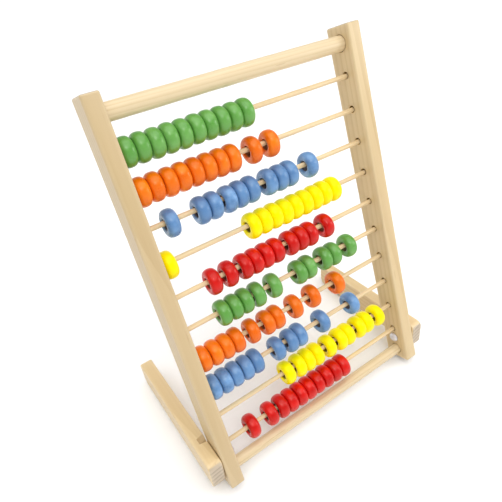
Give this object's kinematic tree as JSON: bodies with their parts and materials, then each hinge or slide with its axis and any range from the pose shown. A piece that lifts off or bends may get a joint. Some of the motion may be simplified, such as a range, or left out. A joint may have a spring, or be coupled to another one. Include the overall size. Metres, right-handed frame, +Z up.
{
  "type": "bead counting frame",
  "caption": "Wooden counting frame with coloured beads sliding on round rods between two leaning uprights, standing on folding feet.",
  "frame": {"origin": "centre of the footprint, on the surface that the frame stands on", "axes": "+Z up, +X along the rods to the right as the user faces the beads, +Y to the back, where the feet reach"},
  "size_m": [0.237, 0.1406, 0.2873],
  "materials": {
    "pale_wood": "satin",
    "rod_wood": "satin",
    "green_paint": "satin",
    "orange_paint": "satin",
    "blue_paint": "satin",
    "yellow_paint": "satin",
    "red_paint": "satin",
    "screw_steel": "satin"
  },
  "bodies": {
    "frame": {"bottom_bar": "pale_wood", "left_upright": "pale_wood", "right_upright": "pale_wood", "rod_01": "rod_wood", "rod_02": "rod_wood", "rod_03": "rod_wood", "rod_04": "rod_wood", "rod_05": "rod_wood", "rod_06": "rod_wood", "rod_07": "rod_wood", "rod_08": "rod_wood", "rod_09": "rod_wood", "rod_10": "rod_wood", "top_bar": "pale_wood"},
    "left_foot": {"left_foot": "pale_wood", "left_pivot_screw": "screw_steel"},
    "right_foot": {"right_foot": "pale_wood", "right_pivot_screw": "screw_steel"},
    "green_beads_01_a": {"green_beads_01_a": "green_paint"},
    "orange_beads_02_a": {"orange_beads_02_a": "orange_paint"},
    "orange_beads_02_b": {"orange_beads_02_b": "orange_paint"},
    "orange_beads_02_c": {"orange_beads_02_c": "orange_paint"},
    "blue_beads_03_a": {"blue_beads_03_a": "blue_paint"},
    "blue_beads_03_b": {"blue_beads_03_b": "blue_paint"},
    "blue_beads_03_c": {"blue_beads_03_c": "blue_paint"},
    "blue_beads_03_d": {"blue_beads_03_d": "blue_paint"},
    "blue_beads_03_e": {"blue_beads_03_e": "blue_paint"},
    "yellow_beads_04_a": {"yellow_beads_04_a": "yellow_paint"},
    "yellow_beads_04_b": {"yellow_beads_04_b": "yellow_paint"},
    "red_beads_05_a": {"red_beads_05_a": "red_paint"},
    "red_beads_05_b": {"red_beads_05_b": "red_paint"},
    "red_beads_05_c": {"red_beads_05_c": "red_paint"},
    "red_beads_05_d": {"red_beads_05_d": "red_paint"},
    "red_beads_05_e": {"red_beads_05_e": "red_paint"},
    "green_beads_06_a": {"green_beads_06_a": "green_paint"},
    "green_beads_06_b": {"green_beads_06_b": "green_paint"},
    "green_beads_06_c": {"green_beads_06_c": "green_paint"},
    "green_beads_06_d": {"green_beads_06_d": "green_paint"},
    "green_beads_06_e": {"green_beads_06_e": "green_paint"},
    "green_beads_06_f": {"green_beads_06_f": "green_paint"},
    "orange_beads_07_a": {"orange_beads_07_a": "orange_paint"},
    "orange_beads_07_b": {"orange_beads_07_b": "orange_paint"},
    "orange_beads_07_c": {"orange_beads_07_c": "orange_paint"},
    "orange_beads_07_d": {"orange_beads_07_d": "orange_paint"},
    "orange_beads_07_e": {"orange_beads_07_e": "orange_paint"},
    "orange_beads_07_f": {"orange_beads_07_f": "orange_paint"},
    "blue_beads_08_a": {"blue_beads_08_a": "blue_paint"},
    "blue_beads_08_b": {"blue_beads_08_b": "blue_paint"},
    "blue_beads_08_c": {"blue_beads_08_c": "blue_paint"},
    "blue_beads_08_d": {"blue_beads_08_d": "blue_paint"},
    "blue_beads_08_e": {"blue_beads_08_e": "blue_paint"},
    "yellow_beads_09_a": {"yellow_beads_09_a": "yellow_paint"},
    "yellow_beads_09_b": {"yellow_beads_09_b": "yellow_paint"},
    "yellow_beads_09_c": {"yellow_beads_09_c": "yellow_paint"},
    "yellow_beads_09_d": {"yellow_beads_09_d": "yellow_paint"},
    "yellow_beads_09_e": {"yellow_beads_09_e": "yellow_paint"},
    "yellow_beads_09_f": {"yellow_beads_09_f": "yellow_paint"},
    "red_beads_10_a": {"red_beads_10_a": "red_paint"},
    "red_beads_10_b": {"red_beads_10_b": "red_paint"},
    "red_beads_10_c": {"red_beads_10_c": "red_paint"}
  },
  "joints": [
    {"name": "left_foot_fold", "type": "hinge", "parent": "frame", "child": "left_foot", "pos_m": [-0.11265, -0.05065, 0.02564], "axis": [1, 0, 0], "range_deg": [-16, 74]},
    {"name": "right_foot_fold", "type": "hinge", "parent": "frame", "child": "right_foot", "pos_m": [0.11265, -0.05065, 0.02564], "axis": [1, 0, 0], "range_deg": [-16, 74]},
    {"name": "green_beads_01_a_slide", "type": "slide", "parent": "frame", "child": "green_beads_01_a", "axis": [1, 0, 0], "range_m": [0, 0.0907]},
    {"name": "orange_beads_02_a_slide", "type": "slide", "parent": "frame", "child": "orange_beads_02_a", "axis": [1, 0, 0], "range_m": [0, 0.008]},
    {"name": "orange_beads_02_b_slide", "type": "slide", "parent": "frame", "child": "orange_beads_02_b", "axis": [1, 0, 0], "range_m": [-0.008, 0.0055]},
    {"name": "orange_beads_02_c_slide", "type": "slide", "parent": "frame", "child": "orange_beads_02_c", "axis": [1, 0, 0], "range_m": [-0.0055, 0.0772]},
    {"name": "blue_beads_03_a_slide", "type": "slide", "parent": "frame", "child": "blue_beads_03_a", "axis": [1, 0, 0], "range_m": [-0.0117, 0.0135]},
    {"name": "blue_beads_03_b_slide", "type": "slide", "parent": "frame", "child": "blue_beads_03_b", "axis": [1, 0, 0], "range_m": [-0.0135, 0.002]},
    {"name": "blue_beads_03_c_slide", "type": "slide", "parent": "frame", "child": "blue_beads_03_c", "axis": [1, 0, 0], "range_m": [-0.002, 0.006]},
    {"name": "blue_beads_03_d_slide", "type": "slide", "parent": "frame", "child": "blue_beads_03_d", "axis": [1, 0, 0], "range_m": [-0.006, 0.0095]},
    {"name": "blue_beads_03_e_slide", "type": "slide", "parent": "frame", "child": "blue_beads_03_e", "axis": [1, 0, 0], "range_m": [-0.0095, 0.048]},
    {"name": "yellow_beads_04_a_slide", "type": "slide", "parent": "frame", "child": "yellow_beads_04_a", "axis": [1, 0, 0], "range_m": [-0.0002, 0.0595]},
    {"name": "yellow_beads_04_b_slide", "type": "slide", "parent": "frame", "child": "yellow_beads_04_b", "axis": [1, 0, 0], "range_m": [-0.0595, 0.031]},
    {"name": "red_beads_05_a_slide", "type": "slide", "parent": "frame", "child": "red_beads_05_a", "axis": [1, 0, 0], "range_m": [-0.0267, 0.0035]},
    {"name": "red_beads_05_b_slide", "type": "slide", "parent": "frame", "child": "red_beads_05_b", "axis": [1, 0, 0], "range_m": [-0.0035, 0.0035]},
    {"name": "red_beads_05_c_slide", "type": "slide", "parent": "frame", "child": "red_beads_05_c", "axis": [1, 0, 0], "range_m": [-0.0035, 0.004]},
    {"name": "red_beads_05_d_slide", "type": "slide", "parent": "frame", "child": "red_beads_05_d", "axis": [1, 0, 0], "range_m": [-0.004, 0.007]},
    {"name": "red_beads_05_e_slide", "type": "slide", "parent": "frame", "child": "red_beads_05_e", "axis": [1, 0, 0], "range_m": [-0.007, 0.046]},
    {"name": "green_beads_06_a_slide", "type": "slide", "parent": "frame", "child": "green_beads_06_a", "axis": [1, 0, 0], "range_m": [-0.0262, 0.0015]},
    {"name": "green_beads_06_b_slide", "type": "slide", "parent": "frame", "child": "green_beads_06_b", "axis": [1, 0, 0], "range_m": [-0.0015, 0.0055]},
    {"name": "green_beads_06_c_slide", "type": "slide", "parent": "frame", "child": "green_beads_06_c", "axis": [1, 0, 0], "range_m": [-0.0055, 0.0155]},
    {"name": "green_beads_06_d_slide", "type": "slide", "parent": "frame", "child": "green_beads_06_d", "axis": [1, 0, 0], "range_m": [-0.0155, 0.007]},
    {"name": "green_beads_06_e_slide", "type": "slide", "parent": "frame", "child": "green_beads_06_e", "axis": [1, 0, 0], "range_m": [-0.007, 0.0075]},
    {"name": "green_beads_06_f_slide", "type": "slide", "parent": "frame", "child": "green_beads_06_f", "axis": [1, 0, 0], "range_m": [-0.0075, 0.0275]},
    {"name": "orange_beads_07_a_slide", "type": "slide", "parent": "frame", "child": "orange_beads_07_a", "axis": [1, 0, 0], "range_m": [0, 0.0045]},
    {"name": "orange_beads_07_b_slide", "type": "slide", "parent": "frame", "child": "orange_beads_07_b", "axis": [1, 0, 0], "range_m": [-0.0045, 0.004]},
    {"name": "orange_beads_07_c_slide", "type": "slide", "parent": "frame", "child": "orange_beads_07_c", "axis": [1, 0, 0], "range_m": [-0.004, 0.0085]},
    {"name": "orange_beads_07_d_slide", "type": "slide", "parent": "frame", "child": "orange_beads_07_d", "axis": [1, 0, 0], "range_m": [-0.0085, 0.009]},
    {"name": "orange_beads_07_e_slide", "type": "slide", "parent": "frame", "child": "orange_beads_07_e", "axis": [1, 0, 0], "range_m": [-0.009, 0.0165]},
    {"name": "orange_beads_07_f_slide", "type": "slide", "parent": "frame", "child": "orange_beads_07_f", "axis": [1, 0, 0], "range_m": [-0.0165, 0.0482]},
    {"name": "blue_beads_08_a_slide", "type": "slide", "parent": "frame", "child": "blue_beads_08_a", "axis": [1, 0, 0], "range_m": [0, 0.011]},
    {"name": "blue_beads_08_b_slide", "type": "slide", "parent": "frame", "child": "blue_beads_08_b", "axis": [1, 0, 0], "range_m": [-0.011, 0.0035]},
    {"name": "blue_beads_08_c_slide", "type": "slide", "parent": "frame", "child": "blue_beads_08_c", "axis": [1, 0, 0], "range_m": [-0.0035, 0.0145]},
    {"name": "blue_beads_08_d_slide", "type": "slide", "parent": "frame", "child": "blue_beads_08_d", "axis": [1, 0, 0], "range_m": [-0.0145, 0.024]},
    {"name": "blue_beads_08_e_slide", "type": "slide", "parent": "frame", "child": "blue_beads_08_e", "axis": [1, 0, 0], "range_m": [-0.024, 0.0377]},
    {"name": "yellow_beads_09_a_slide", "type": "slide", "parent": "frame", "child": "yellow_beads_09_a", "axis": [1, 0, 0], "range_m": [-0.0627, 0.002]},
    {"name": "yellow_beads_09_b_slide", "type": "slide", "parent": "frame", "child": "yellow_beads_09_b", "axis": [1, 0, 0], "range_m": [-0.002, 0.004]},
    {"name": "yellow_beads_09_c_slide", "type": "slide", "parent": "frame", "child": "yellow_beads_09_c", "axis": [1, 0, 0], "range_m": [-0.004, 0.0025]},
    {"name": "yellow_beads_09_d_slide", "type": "slide", "parent": "frame", "child": "yellow_beads_09_d", "axis": [1, 0, 0], "range_m": [-0.0025, 0.003]},
    {"name": "yellow_beads_09_e_slide", "type": "slide", "parent": "frame", "child": "yellow_beads_09_e", "axis": [1, 0, 0], "range_m": [-0.003, 0.004]},
    {"name": "yellow_beads_09_f_slide", "type": "slide", "parent": "frame", "child": "yellow_beads_09_f", "axis": [1, 0, 0], "range_m": [-0.004, 0.0125]},
    {"name": "red_beads_10_a_slide", "type": "slide", "parent": "frame", "child": "red_beads_10_a", "axis": [1, 0, 0], "range_m": [-0.0155, 0.0085]},
    {"name": "red_beads_10_b_slide", "type": "slide", "parent": "frame", "child": "red_beads_10_b", "axis": [1, 0, 0], "range_m": [-0.0085, 0.0015]},
    {"name": "red_beads_10_c_slide", "type": "slide", "parent": "frame", "child": "red_beads_10_c", "axis": [1, 0, 0], "range_m": [-0.0015, 0.0588]}
  ]
}
